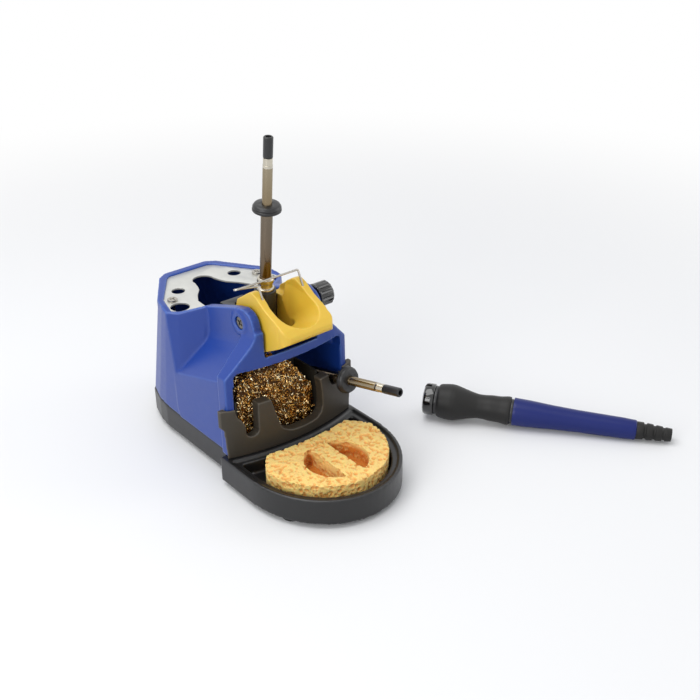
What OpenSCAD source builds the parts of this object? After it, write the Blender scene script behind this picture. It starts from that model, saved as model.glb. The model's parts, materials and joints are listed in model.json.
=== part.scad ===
// Bench stand for a soldering iron, with its removable tips and its handpiece.
// Millimetres. Z is up, the sponge tray faces -Y, the clamp knob is on +X.
// The origin is on the bench, under the stand.

/* [Base] */
// Half width of the base beside the housing
base_half = 39.8; // [36:0.5:44]
// Half width of the round sponge tray
tray_half = 46.6; // [42:0.2:52]
// Front edge of the tray, ahead of the middle
tray_front = 93; // [84:1:100]
// Rear edge of the base, behind the middle
base_rear = 101; // [92:1:108]
// Height of the base's rim over the bench
base_top = 18.5; // [15:0.5:24]
// Height of the rubber feet
foot_height = 3; // [2:0.2:6]
// Diameter of a rubber foot
foot_diameter = 12; // [8:0.5:18]
// Front feet, to the side of the middle
foot_x = 34; // [26:0.5:36]
// Front feet, ahead of the middle
foot_y = 61; // [50:1:70]
// Rear feet, to the side of the middle
foot_x_rear = 28; // [20:0.5:32]
// Rear feet, behind the middle
foot_y_rear = 74; // [60:1:84]
// Housing screws, to the side of the middle
boss_x = 28; // [24:0.5:31]
// Housing screws, behind the middle
boss_y = 52; // [48:1:56]
// Floor height of the sponge well
well_floor = 9; // [6:0.5:14]
// Thickness of the steel weight under the base
weight_thickness = 3; // [1:0.2:4]

/* [Housing] */
// Half width of the rear column
column_half = 41.5; // [38:0.5:46]
// Front face of the rear column, behind the middle
column_front = 40; // [34:1:44]
// Where the column's slanting front meets the cheeks, behind the middle
column_nose = 28.8; // [26:0.2:34]
// Rim height of the rear column at the back
rim_height = 88; // [80:0.5:96]
// Rise of the two cheeks over the tilt axis
cheek_rise = 9.3; // [8:0.1:14]
// Outer half width over the cheeks
cheek_outer = 23.8; // [22:0.2:28]
// Inner half width between the cheeks
cheek_inner = 18.3; // [17.8:0.1:20]
// Half width of the front portal
portal_half = 43.2; // [40:0.2:46]
// Height of the portal's shoulders
shoulder_height = 68.8; // [60:0.2:74]
// Half width of the portal where its slope meets the cheek
slope_half = 27; // [25:0.2:30]
// Height of the portal there
slope_height = 85.7; // [80:0.1:88]
// Height of the arch
arch_height = 71.2; // [66:0.2:74]
// Half width of the arch
arch_half = 37.8; // [34:0.2:39]
// Wall of the housing
wall = 2.6; // [2:0.1:4]
// Height of the flank's crease at the column
flank_height = 49.6; // [46:0.2:56]
// Rise of that crease towards the front, in degrees
flank_rise = 16.8; // [8:0.2:20]
// Radius of the portal's bowed front
front_bow = 136; // [120:1:180]

/* [Slot plate] */
// Height of the plate's two posts
post_height = 50.3; // [46:0.5:56]
// Height of the plate's outer tabs
tab_height = 50; // [44:0.5:54]
// Outer half width over the tabs
tab_half = 47.2; // [46:0.2:50]
// Thickness of the plate's middle
plate_thickness = 6.5; // [3:0.5:8]

/* [Wool and sponge] */
// Thickness of the sponge
sponge_thickness = 14; // [6:0.5:16]
// Half width of the sponge
sponge_half = 37.4; // [30:0.2:40]
// Depth of the wool case, front to back
case_depth = 22; // [16:1:24]
// Left wall of the wool case, beside the middle
case_left = 37; // [30:0.5:37.4]
// Right wall of the wool case, beside the middle
case_right = 21.4; // [16:0.2:23]
// Front of the wool case, ahead of the middle
case_ahead = 14.2; // [12:0.2:15]
// Gap all round the wool in its case
wool_gap = 0.3; // [0.2:0.1:2]
// Height of the wool case's walls
case_height = 34; // [20:1:38]
// Height of the brass wool block
wool_height = 46; // [20:1:48]

/* [Receptacle] */
// Height of the tilt axis over the bench
pivot_height = 94.5; // [92:0.5:97]
// Place of the tilt axis, ahead of the middle
pivot_ahead = 4.5; // [2:0.5:8]
// Outer half width of the receptacle
cup_half = 17.2; // [16:0.1:17.9]
// Half width of the receptacle's throat
throat_half = 8; // [6:0.2:10]
// Depth of the receptacle's underside below the tilt axis
cup_depth = 15.9; // [14:0.1:18]
// Gap between the receptacle's underside and the sill
sill_gap = 1.1; // [0.8:0.1:3]
// Diameter of the pivot bolt
bolt_diameter = 4; // [3:0.5:6]
// Inner end of the pivot bolt and screw, to the side of the middle
bolt_in = 11.6; // [11:0.1:14]
// Running clearance on the bolt, on the diameter
bolt_clearance = 0.1; // [0.04:0.02:0.3]
// Diameter of the clamp knob
knob_diameter = 14.6; // [12:0.2:18]
// Width of the clamp knob
knob_width = 10.5; // [8:0.5:14]
// Knob's inner face, out from the cheek
knob_stand = 4; // [3:0.2:6]
// Diameter of the retaining wire
wire_diameter = 1.2; // [0.8:0.1:2]
// Lean of the wire's legs, in degrees
wire_lean = 26; // [20:0.5:32]
// Reach of the wire's loop past the left side
wire_reach = 27.9; // [24:0.1:30]
// Height of the metal bush over the bench
bush_height = 109.6; // [104:0.2:112]
// Bush behind the middle
bush_behind = 3; // [1:0.1:5]
// Outer diameter of the metal bush
bush_diameter = 9; // [8:0.1:11]

/* [Tips] */
// Whole length of a tip
tip_length = 142; // [120:1:160]
// Diameter of a tip's tube
tube_diameter = 5.5; // [4:0.1:6.4]
// Diameter of the sleeve in front of the collar
sleeve_diameter = 6.6; // [6:0.1:7.4]
// Length of the sleeve
sleeve_length = 64; // [50:1:72]
// Collar face to the contact end
contact_reach = 38.5; // [30:0.5:46]
// Diameter of the black collar
collar_diameter = 16.2; // [13:0.1:18]
// Lean of the upright tip from the vertical, in degrees
tip_lean = 6.6; // [0:0.2:12]
// Collar of the upright tip, up from the bush
collar_up = 48.6; // [40:0.2:58]
// Turn of the stored tip towards the right, in degrees
stored_turn = 8.2; // [0:0.2:14]
// Tilt of the stored tip from the vertical, in degrees
stored_tilt = 80.3; // [76:0.1:84]
// Radial slip of the sleeve in the bush
sleeve_slip = 0.06; // [0.02:0.01:0.2]

/* [Handpiece] */
// Diameter of the nose ring
nose_diameter = 20; // [17:0.2:23]
// Largest diameter of the soft grip
grip_diameter = 22.8; // [19:0.2:25]
// Diameter of the grip's waist
waist_diameter = 15.2; // [12:0.2:17]
// Diameter of the handle at its front
handle_diameter = 17.4; // [14:0.2:19]
// Diameter of the handle at its rear
handle_rear = 12.9; // [11:0.2:15]
// Nose to the end of the handle
handle_length = 131; // [110:1:150]
// Nose of the handpiece, to the side of the middle
hand_x = 93.4; // [80:0.2:140]
// Nose of the handpiece, ahead of the middle
hand_y = 29.9; // [0:0.2:80]
// Turn of the handpiece towards the front, in degrees
hand_turn = 52.9; // [0:0.5:90]
// Diameter of the bore that takes a tip
bore_diameter = 7; // [6.8:0.1:9]

/* [Tip plate] */
// Thickness of the metal tip plate
sheet = 1.2; // [0.8:0.1:2]
// Diameter of the two rear holes
hole_rear = 8.2; // [6:0.2:11]
// Diameter of the two front holes
hole_front = 11.4; // [8:0.2:13]

/* [Hidden] */
$fn = 48;
eps = 0.01;
py = -pivot_ahead;
pz = pivot_height;
sill_height = pz - cup_depth - sill_gap;
cheek_top = pz + cheek_rise;
bow_y = -21.5 + front_bow;
plate_y = -22.8 + front_bow;
plate_z = rim_height - 1.5;

// ---- helpers

// A side profile of (y, z) points, swept along X.
module side(points, x0, x1) {
  translate([x0, 0, 0]) rotate([90, 0, 90]) linear_extrude(x1 - x0) polygon(points);
}

// A front profile of (x, z) points, swept along Y.
module front(points, y0, y1) {
  translate([0, y1, 0]) rotate([90, 0, 0]) linear_extrude(y1 - y0) polygon(points);
}

module both() { children(); mirror([1, 0, 0]) children(); }

// A block between two corners.
module block(a, b) { translate(a) cube([b[0] - a[0], b[1] - a[1], b[2] - a[2]]); }

// A pin along X.
module pin(d, x0, x1, y, z) { translate([x0, y, z]) rotate([0, 90, 0]) cylinder(d = d, h = x1 - x0); }

// ---- plans

// The rear column's plan, at its rim.
function column_plan(g) = [
  [column_half - g, column_front + 6], [column_half - 1 - g, 52], [37 - g, 62 - g * 0.3],
  [20 - g * 0.5, 87.5 - g], [14 - g * 0.4, 91.5 - g], [-14 + g * 0.4, 91.5 - g], [-20 + g * 0.5, 87.5 - g],
  [-37 + g, 62 - g * 0.3], [-column_half + 1 + g, 52], [-column_half + g, column_front + 6],
  [-column_half + 5 + g, column_front + g], [-cheek_outer + g / 3, column_nose + g],
  [cheek_outer - g / 3, column_nose + g], [column_half - 5 - g, column_front + g]];

// The same plan at its foot: the back and the front lean out.
function column_foot(g) = [
  [base_half + 0.6 - g, column_front - 1], [base_half - g, 60], [38.4 - g, 70 - g * 0.3],
  [34 - g * 0.8, 83 - g * 0.5], [21 - g * 0.5, base_rear - 3.6 - g], [13, base_rear - g],
      [-13, base_rear - g],
  [-21 + g * 0.5, base_rear - 3.6 - g], [-34 + g * 0.8, 83 - g * 0.5], [-38.4 + g, 70 - g * 0.3],
  [-base_half + g, 60], [-base_half - 0.6 + g, column_front - 1],
  [-base_half + 4.5 + g, column_front - 6 + g], [-cheek_outer + g / 3, column_nose + g],
  [cheek_outer - g / 3, column_nose + g], [base_half - 4.5 - g, column_front - 6 + g]];

module base_plan(g) {
  // the body's part
  polygon([[base_half - g, -20], [base_half - g, 60], [38.4 - g, 70 - g * 0.4],
    [34.4 - g * 0.8, 83.6 - g * 0.5],
    [21.4 - g * 0.5, base_rear - 3 - g], [13, base_rear + 0.6 - g], [-13, base_rear + 0.6 - g],
    [-21.4 + g * 0.5, base_rear - 3 - g],
    [-34.4 + g * 0.8, 83.6 - g * 0.5], [-38.4 + g, 70 - g * 0.4], [-base_half + g, 60],
        [-base_half + g, -20]]);
  // the tray's part, a half oval
  intersection() {
    translate([0, -39]) scale([(tray_half - g) / 100, (tray_front - 39 - g) / 100]) circle(r = 100,
        $fn = 96);
    translate([-60, -120]) square([120, 81 + eps]);
  }
  translate([-tray_half + g, -39]) square([2 * (tray_half - g), 29 - g]);
}

// ---- base

// All that lies behind the slot plate's foot line, and a little ahead of it.
module deck(ahead) translate([0, plate_y - ahead, 0]) cylinder(r = front_bow, h = 40, $fn = 180);

module base() color("#1d1d1f") difference() {
  translate([0, 0, foot_height]) linear_extrude(base_top - foot_height) base_plan(0);
  // sponge well, with a step under the rim
  difference() {
    translate([0, 0, base_top - 1.6]) linear_extrude(10) base_plan(2.4);
    deck(2.4);
  }
  difference() {
    translate([0, 0, well_floor]) linear_extrude(20) base_plan(6.4);
    deck(5.6);
  }
  // pocket for the weight
  translate([0, 0, foot_height - 1]) linear_extrude(weight_thickness + 1.2) base_plan(6);
  // holes of the feet's stems
  for (x = [-1, 1]) {
    translate([x * foot_x, -foot_y, foot_height - 1]) cylinder(r = 2.6, h = 4.2);
    translate([x * foot_x_rear, foot_y_rear, foot_height - 1]) cylinder(r = 2.6, h = 4.2);
  }
  // holes of the two screws that hold the housing
  for (x = [-boss_x, boss_x]) translate([x, boss_y, 0]) cylinder(d = 3.2, h = 40);
}

module base_weight() color("#8a8c8e") difference() {
  translate([0, 0, foot_height + 0.2]) linear_extrude(weight_thickness) base_plan(6.4);
  for (x = [-boss_x, boss_x]) translate([x, boss_y, 0]) cylinder(d = 6.4, h = 20);
  for (x = [-1, 1]) {
    translate([x * foot_x, -foot_y, 0]) cylinder(d = 5.4, h = 20);
    translate([x * foot_x_rear, foot_y_rear, 0]) cylinder(d = 5.4, h = 20);
  }
}

module foot(x, y) {
  translate([x, y, 0]) rotate_extrude()
    polygon([[0, 0], [foot_diameter / 2 - 0.8, 0], [foot_diameter / 2, 0.8],
      [foot_diameter / 2, foot_height], [2.6, foot_height], [2.6, foot_height + 3.2],
          [0, foot_height + 3.2]]);
}
module foot_front_left() color("#141414") foot(-foot_x, -foot_y);
module foot_front_right() color("#141414") foot(foot_x, -foot_y);
module foot_rear_left() color("#141414") foot(-foot_x_rear, foot_y_rear);
module foot_rear_right() color("#141414") foot(foot_x_rear, foot_y_rear);

module base_screw(x) difference() {
  union() {
    translate([x, boss_y, foot_height + 1.6]) cylinder(d = 3, h = 26);
    translate([x, boss_y, foot_height + 0.8]) cylinder(d = 6, h = weight_thickness - 0.6);
  }
  translate([x, boss_y, foot_height]) cylinder(d = 3.4, h = 2.2, $fn = 6);
}
module base_screw_left() color("#b9bbbd") base_screw(-boss_x);
module base_screw_right() color("#b9bbbd") base_screw(boss_x);

// ---- housing

// The scooped flank between the column and the portal.
module flank(g, y0, y1) {
  intersection() {
    both() translate([0, 41, flank_height]) rotate([-flank_rise, 0, 0]) translate([0, 10, 0]) rotate([90,
        0, 0])
      linear_extrude(75) polygon([[0, -70], [column_half - 0.6 - g, -70], [column_half - 0.6 - g, -g * 1.2],
        [39.6 - g, 1 - g], [slope_half - g * 0.7, 15.2 - g], [cheek_outer + 1 - g * 0.8, 18.4 - g],
        [cheek_outer - g, 22 - g], [0, 24 - g]]);
    block([-60, y0, base_top - (g > 0 ? 1 : 0)], [60, y1, 120]);
  }
}

// The side view of the two cheeks.
cheek_profile = [[column_front + 4, base_top], [column_front + 4, 88], [34, 90.8], [column_nose, 92.6],
  [py + 4.5, cheek_top - 1.6],
  [py - 2.5, cheek_top], [py - 6.5, cheek_top - 0.4], [py - 9.7, cheek_top - 2],
      [py - 11.9, cheek_top - 4.6],
  [py - 13.2, cheek_top - 8.2], [py - 13.8, cheek_top - 12.8], [py - 14.1, cheek_top - 17.8],
      [py - 14.1, base_top]];

module cheeks() {
  both() side(cheek_profile, cheek_inner, cheek_outer);
  // raised pads round the pivot
  mirror([1, 0, 0]) pin(13.5, cheek_outer - 1, cheek_outer + 0.9, py, pz);
  pin(19, cheek_outer - 1, cheek_outer + 1.2, py, pz);
  pin(13.6, cheek_outer, cheek_outer + 2.4, py, pz);
}

module portal(g) {
  intersection() {
    front([[-portal_half + g, base_top], [-portal_half + 0.5 + g, shoulder_height - g],
      [-slope_half, slope_height - g], [-cheek_outer - 0.8, slope_height + 3.8 - g],
      [-cheek_outer, 93 - g], [-cheek_inner, 93 - g],
      [-cheek_inner, sill_height], [cheek_inner, sill_height],
      [cheek_inner, 93 - g], [cheek_outer, 93 - g],
      [cheek_outer + 0.8, slope_height + 3.8 - g], [slope_half, slope_height - g],
      [portal_half - 0.5 - g, shoulder_height - g], [portal_half - g, base_top]], -30, -7);
    translate([0, bow_y, 0]) cylinder(r = front_bow, h = 150, $fn = 180);
  }
}

module column(g, z0, z1) hull() {
  translate([0, 0, z1 - eps]) linear_extrude(eps) polygon(column_plan(g));
  translate([0, 0, z0]) linear_extrude(eps) polygon(column_foot(g));
}

// The rim climbs along the slanting front to the cheeks' tops.
module climb() both() hull() {
  block([cheek_outer - 1.5, column_nose, rim_height - 6], [cheek_outer, column_nose + 1.5, 92.4]);
  block([column_half - 6.6, column_front, rim_height - 6],
    [column_half - 5.4, column_front + 1.5, rim_height]);
}

module shell() difference() {
  union() {
    column(0, base_top, rim_height);
    climb();
    cheeks();
    flank(0, -14, column_front + 4);
    portal(0);
  }
  // the open inside of the rear column
  translate([0, 0, plate_z]) linear_extrude(30) polygon(column_plan(2.2));
  column(3.2, base_top - 0.5, rim_height + 0.5);
  // the space between the cheeks and under the flanks
  block([-cheek_inner, -18.4, base_top - 1], [cheek_inner, column_front + 8, 130]);
  flank(wall + 0.4, -17.5, column_front + 8);
  // the arch with its rounded upper corners
  front([[-arch_half, base_top - 1], [-arch_half, arch_height - 3.5], [-arch_half + 1, arch_height - 1],
    [-arch_half + 3.5, arch_height], [arch_half - 3.5, arch_height], [arch_half - 1, arch_height - 1],
    [arch_half, arch_height - 3.5], [arch_half, base_top - 1]], -40, -8);
  // pivot bores, with a deep recess on the left for the screw's head
  pin(bolt_diameter + bolt_clearance, -40, 40, py, pz);
  mirror([1, 0, 0]) pin(7.8, cheek_outer - 2.6, 40, py, pz);
  // room for the knob to turn beside the shoulder
  pin(knob_diameter + 1.6, cheek_outer + 2.4, 60, py, pz);
  // the sill's rear edge, clear of the tilting receptacle
  side([[-20.6, sill_height + 0.1], [-20.6, sill_height],
      [-18.3, sill_height - 1.8], [-18.3, sill_height + 0.1]], -cheek_inner, cheek_inner);
}

module housing() color("#2f54a8") difference() {
  union() {
    shell();
    // two posts for the base's screws
    for (x = [-1, 1]) {
      translate([x * boss_x, boss_y, base_top]) cylinder(d = 8, h = 16);
      block([x > 0 ? boss_x : -base_half + 1, boss_y - 1, base_top],
        [x > 0 ? base_half - 1 : -boss_x, boss_y + 1, base_top + 14]);
    }
  }
  for (x = [-boss_x, boss_x]) translate([x, boss_y, base_top - 1]) cylinder(d = 3, h = 15);
}

// ---- slot plate in front of the arch

module slot_plate() color("#2b2a28") difference() {
  union() {
    intersection() {
      difference() {
        translate([0, plate_y, base_top]) cylinder(r = front_bow, h = 40, $fn = 180);
        translate([0, plate_y, 0]) cylinder(r = front_bow - plate_thickness, h = 90, $fn = 180);
      }
      front([[-37.3, base_top], [-37.3, tab_height], [-17.8, post_height], [17.8, post_height],
        [37.3, tab_height], [37.3, base_top]], -40, -case_ahead);
    }
    // thin skin in front of the posts of the portal, with its wrapped ends
    intersection() {
      difference() {
        translate([0, plate_y, base_top]) cylinder(r = front_bow, h = 40, $fn = 180);
        translate([0, bow_y, 0]) cylinder(r = front_bow + 0.05, h = 90, $fn = 180);
      }
      front([[-tab_half, 40], [-tab_half, tab_height], [-37, tab_height - 0.4], [-30, tab_height - 0.4],
        [-30, base_top], [30, base_top], [30, tab_height - 0.4], [37, tab_height - 0.4],
        [tab_half, tab_height], [tab_half, 40],
        [tab_half - 2, 37], [tab_half - 3, base_top], [-tab_half + 3, base_top], [-tab_half + 2, 37]],
            -40, 0);
    }
    both() intersection() {
      block([portal_half + 0.05, -15.6, 39], [tab_half, -11.6, tab_height]);
      translate([0, plate_y, 0]) cylinder(r = front_bow, h = 90, $fn = 180);
    }
  }
  // wide middle cut-out, fuller on the right
  front([[-17.6, 60], [-17, 50], [-14.6, 41.5], [-11.8, 32], [-9.8, 28.8], [-7, 26.8], [-3, 25.4],
      [4, 24.8],
    [11, 25], [15.2, 25.8], [18.2, 28], [19.6, 32], [19.4, 42], [18, 50], [17.8, 60]], -40, 0);
  // deep slot on the left
  front([[-38.6, 60], [-38.4, 47], [-37, 43.6], [-35.4, 42], [-33.2, 38], [-33, 34],
    [-25.6, 34], [-25.4, 44], [-24.9, 60]], -40, -9);
  translate([-29.3, -9, 33.6]) rotate([90, 0, 0]) cylinder(r = 3.8, h = 30);
  // shallow slot on the right
  front([[38.6, 60], [38.2, 48], [35.6, 44.8], [26.4, 44.8], [25.6, 48], [25.2, 60]], -40, -9);
  translate([31, -9, 45.6]) rotate([90, 0, 0]) cylinder(r = sleeve_diameter / 2 + 1, h = 30);
}

// ---- wool case and wool

case_x0 = -case_left;
case_x1 = case_right;
case_y0 = -case_ahead;

module wool_case() color("#262522") difference() {
  block([case_x0, case_y0, base_top], [case_x1, case_y0 + case_depth, base_top + case_height]);
  block([case_x0 + 1.4, case_y0 - 1, base_top + 1.4],
    [case_x1 - 1.4, case_y0 + case_depth - 1.4, base_top + 80]);
}

module brass_wool() color("#b98a3a") intersection() {
  block([case_x0 + 1.4 + wool_gap, case_y0 + 0.6, base_top + 1.4 + wool_gap],
    [case_x1 - 1.4 - wool_gap, case_y0 + case_depth - 1.4 - wool_gap, base_top + 1.7 + wool_height]);
  // a rounded heap, lower at its right and rear
  union() {
    translate([-13, -4, 40]) sphere(r = 28.4, $fn = 64);
    translate([-8, -4, 30]) sphere(r = 30.5, $fn = 64);
  }
  flank(wall + 1.2, -30, 40);
}

// ---- sponge

module sponge() color("#f2c35a") difference() {
  translate([0.4, 0, well_floor + 0.05]) linear_extrude(sponge_thickness) difference() {
    union() {
      translate([0, -42]) scale([sponge_half / 100, 0.442]) circle(r = 100, $fn = 96);
      translate([-sponge_half, -42]) square([2 * sponge_half, 12]);
    }
    translate([0, -31.6 + front_bow]) circle(r = front_bow, $fn = 180);
  }
  // two D-shaped wells each side of the middle bar
  intersection() {
    translate([0.4, -58, well_floor - 1]) cylinder(r = 15.6, h = 30);
    both() block([6.2, -90, 0], [40, -30, 40]);
  }
}

// ---- metal plate on the rear column

module tip_plate() color("#d9d9d2") difference() {
  translate([0, 0, plate_z]) linear_extrude(sheet) difference() {
    polygon(column_plan(2.5));
    // round lobe and the opening that widens to the front
    translate([0, 70.5]) circle(r = 6.6);
    polygon([[-6.4, 70], [-8, 64], [-9.6, 60], [-14.5, 54], [-18.5, 47], [-19.6, 30], [19.6, 30],
        [18.5, 47],
      [14.5, 54], [9.6, 60], [8, 64], [6.4, 70]]);
    for (x = [-1, 1]) {
      translate([x * 20.2, 66.6]) circle(d = hole_rear);
      translate([x * 31, 47]) circle(d = hole_front);
      translate([x * 30.3, 56.6]) circle(d = 3.2);
    }
  }
}

module plate_screw(x) translate([x, 56.6, plate_z + sheet]) {
  translate([0, 0, -6]) cylinder(d = 3, h = 6);
  difference() {
    cylinder(d = 6, h = 1.6);
    for (a = [0, 90]) rotate([0, 0, a + 20]) translate([-2, -0.4, 0.7]) cube([4, 0.8, 2]);
  }
}
module plate_screw_left() color("#c9c9c4") plate_screw(-30.3);
module plate_screw_right() color("#c9c9c4") plate_screw(30.3);

// A dark bracket across the cavity, behind the receptacle.
module cavity_bracket() color("#232323") difference() {
  union() {
    block([-cheek_inner + 0.02, column_nose - 3.8, 80], [cheek_inner - 0.02, column_nose - 0.3, 86]);
    block([-8, 24, 84], [8, 40, 86]);
  }
  translate([0, 31, 80]) cylinder(d = 6, h = 10);
}

// ---- receptacle

// The receptacle's side view, from the tilt axis.
cup_profile = [[11.5, 8.5], [7.5, 11.1], [-0.5, 16.5], [-3.5, 17.2], [-7.8, 15.8], [-15, 10.9],
    [-24.8, 6.7],
  [-31.2, 3.2], [-34.2, 0.3], [-34.9, -1.9], [-33.7, -3.9], [-26.5, -8.5], [-12.5, -cup_depth],
  [-5.5, -cup_depth - 2.2], [1.5, -cup_depth - 1.1], [8.5, -12.5], [12.5, -4.5], [13.1, 3.5]];

module receptacle() color("#e9c63a") difference() {
  intersection() {
    translate([0, py, pz]) side(cup_profile, -cup_half, cup_half);
    // the lip is round in plan
    linear_extrude(130) union() {
      translate([-cup_half, -30]) square([2 * cup_half, 60]);
      translate([0, -30]) scale([cup_half / 100, 0.096]) circle(r = 100, $fn = 96);
      translate([-11, -39.6]) square([22, 10]);
      for (x = [-11, 11]) translate([x, -33.4]) circle(r = 6.2);
    }
  }
  // funnel: its mouth faces the user, square to the iron that drops in
  hull() {
    translate([0, -8, 88.5]) cylinder(r = throat_half, h = 1);
    translate([0, -24.6, 103.8]) rotate([30, 0, 0]) scale([0.911, 1, 1]) cylinder(r = 14.6, h = 16);
    translate([0, -7, 107]) cylinder(r = 12, h = 12);
  }
  block([-throat_half, -8, 60], [throat_half, 30, 130]);
  translate([0, -10, 60]) cylinder(r = throat_half, h = 60);
  // the rear of the arms is open wider above the carrier
  block([-12.4, -1, 100], [12.4, 30, 130]);
  // blind bores for the bolt and the screw, one in each arm
  both() pin(bolt_diameter + bolt_clearance, bolt_in - 0.4, 30, py, pz);
  // holes for the wire's legs
  for (x = [-13.8, 13.8]) leg(x) translate([0, 0, -2.4]) cylinder(d = wire_diameter, h = 12);
}

// A frame on the tilting unit's tip axis: z runs up along the tip from the bush.
module tip_frame() translate([0, bush_behind, bush_height]) rotate([tip_lean, 0, 0]) children();

module bush_carrier() color("#1f1f20") difference() {
  union() {
    tip_frame() translate([0, 0, -26]) cylinder(d = 12.6, h = 21.5);
    tip_frame() translate([-throat_half + 0.05, -1, -26]) cube([2 * throat_half - 0.1, 10, 16]);
  }
  tip_frame() translate([0, 0, -40]) cylinder(d = sleeve_diameter + 1.6, h = 60);
}

module bush() color("#c9c7bf") tip_frame() rotate_extrude() {
  r = sleeve_diameter / 2 + sleeve_slip;
  polygon([[r, -10], [3.95, -10], [3.95, -4.5], [bush_diameter / 2 + 0.6, -4.5],
      [bush_diameter / 2 + 0.6, -3],
    [bush_diameter / 2 - 0.4, -2.6], [bush_diameter / 2 - 0.4, 0], [bush_diameter / 2 + 0.3, 0.4],
    [bush_diameter / 2 + 0.3, 2.6], [bush_diameter / 2 - 0.3, 3.4], [r, 3.4]]);
}

// A round wire swept along a list of points, its corners eased.
function unit(v) = v / norm(v);
function eased(p, d) = concat([p[0]], [for (i = [1:len(p) - 2]) let (a = p[i] + d * unit(p[i - 1] - p[i]),
  b = p[i] + d * unit(p[i + 1] - p[i])) for (t = [0:0.25:1]) (1 - t) * (1 - t) * a + 2 * t * (1 - t) *
      p[i] + t * t * b],
  [p[len(p) - 1]]);
function heading(p, i) = unit(p[min(i + 1, len(p) - 1)] - p[max(i - 1, 0)]);
function across(p, i, u) = i == len(p) ? [] :
  let (t = heading(p, i), w = unit(u - (u * t) * t)) concat([w], across(p, i + 1, w));
module wire(p, d, n = 12) {
  u = across(p, 0, [1, 0.1, 0]);
  polyhedron(
    points = [for (i = [0:len(p) - 1]) let (v = cross(heading(p, i), u[i])) for (k = [0:n - 1])
      p[i] + d / 2 * (cos(360 * k / n) * u[i] + sin(360 * k / n) * v)],
    faces = concat([[for (k = [0:n - 1]) k]], [[for (k = [n - 1:-1:0]) (len(p) - 1) * n + k]],
      [for (i = [0:len(p) - 2]) for (k = [0:n - 1])
        [i * n + k, (i + 1) * n + k, (i + 1) * n + (k + 1) % n, i * n + (k + 1) % n]]));
}
// A leg's own frame, and the point so far up it.
module leg(x) translate([x, -13.6, 109]) rotate([-wire_lean, 0, 0]) children();
function up(x, l) = [x, -13.6 + l * sin(wire_lean), 109 + l * cos(wire_lean)];

module wire_bail() color("#cfcdc6") {
  far = [-wire_reach, up(0, 9.4)[1], up(0, 9.4)[2]];
  wire(eased([up(13.8, -1.6), up(13.8, 9.4), far, far + [0, 2.2, -0.7], up(-13.8, 7.6), up(-13.8, -1.6)],
      1), wire_diameter);
}

// The bolt through the right cheek, and the screw through the left one.
module pivot_bolt() color("#b5b5b0") pin(bolt_diameter, bolt_in, cheek_outer + 14, py, pz);
module pivot_screw() color("#a9a9a4") difference() {
  union() {
    pin(bolt_diameter, -cheek_outer + 1, -bolt_in, py, pz);
    pin(7, -cheek_outer + 0.1, -cheek_outer + 2.6, py, pz);
  }
  translate([-cheek_outer, py, pz]) for (a = [0, 90])
    rotate([a + 30, 0, 0]) translate([-1, -2.2, -0.5]) cube([2, 4.4, 1]);
}
knob_x = cheek_outer + knob_stand;
module knob_washer() color("#9b9b98") difference() {
  pin(10, cheek_outer + 2.4, knob_x, py, pz);
  pin(bolt_diameter, 0, 60, py, pz);
}
module clamp_knob() color("#101012") difference() {
  translate([knob_x, py, pz]) rotate([0, 90, 0]) rotate_extrude()
    polygon([[0, 0], [knob_diameter / 2 - 0.6, 0], [knob_diameter / 2, 0.6],
        [knob_diameter / 2, knob_width - 1],
      [knob_diameter / 2 - 1, knob_width], [0, knob_width]]);
  for (a = [0:30:359]) translate([knob_x + 1.6, py, pz]) rotate([a, 0, 0]) translate([0,
      knob_diameter / 2 + 0.45, 0])
    rotate([0, 90, 0]) cylinder(d = 2.4, h = 20, $fn = 16);
  pin(bolt_diameter, 0, cheek_outer + 14, py, pz);
}

// ---- a tip, in its own frame: z runs from the collar to the contact end

module tube_profile() {
  front_end = -(tip_length - contact_reach);
  rotate_extrude() polygon([[0, front_end + 12], [2.1, front_end + 12], [2.1, front_end + 16],
      [tube_diameter / 2, front_end + 18],
    [tube_diameter / 2, -sleeve_length - 1], [sleeve_diameter / 2, -sleeve_length],
        [sleeve_diameter / 2, -4.6],
    [tube_diameter / 2, -4.6], [tube_diameter / 2, contact_reach - 17.4], [0, contact_reach - 17.4]]);
}
module collar_profile() {
  rotate_extrude() polygon([[tube_diameter / 2, -4.6], [collar_diameter / 2 - 1.2, -4.6],
      [collar_diameter / 2, -3.8],
    [collar_diameter / 2, -2.6], [collar_diameter / 2 - 0.5, -2.2], [collar_diameter / 2 - 0.2, -1.8],
    [collar_diameter / 2 - 0.2, -1.4], [collar_diameter / 2 - 1, -0.2], [collar_diameter / 2 - 1.4, 0],
    [tube_diameter / 2, 0]]);
}
module band_profile() {
  rotate_extrude() polygon([[0, contact_reach - 17.4], [2.75, contact_reach - 17.4],
      [2.75, contact_reach - 15.8],
    [2.6, contact_reach - 15.8], [2.6, contact_reach - 11.8], [0, contact_reach - 11.8]]);
}
module contact_profile() {
  rotate_extrude() polygon([[0, contact_reach - 11.8], [2.3, contact_reach - 11.8],
      [2.7, contact_reach - 11.4],
    [2.7, contact_reach - 0.5], [2.3, contact_reach], [1.5, contact_reach], [1.5, contact_reach - 7],
        [0, contact_reach - 7]]);
}
module point_profile() {
  front_end = -(tip_length - contact_reach);
  rotate_extrude() polygon([[0, front_end], [0.5, front_end], [1.7, front_end + 7],
      [1.7, front_end + 12], [0, front_end + 12]]);
}

module upright() tip_frame() translate([0, 0, collar_up]) children();
module upright_tube() color("#a89a80") upright() tube_profile();
module upright_collar() color("#1b1b1b") upright() collar_profile();
module upright_band() color("#d8d2c0") upright() band_profile();
module upright_contact() color("#1b1b1a") upright() contact_profile();
module upright_point() color("#b7b4ad") upright() point_profile();

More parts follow.
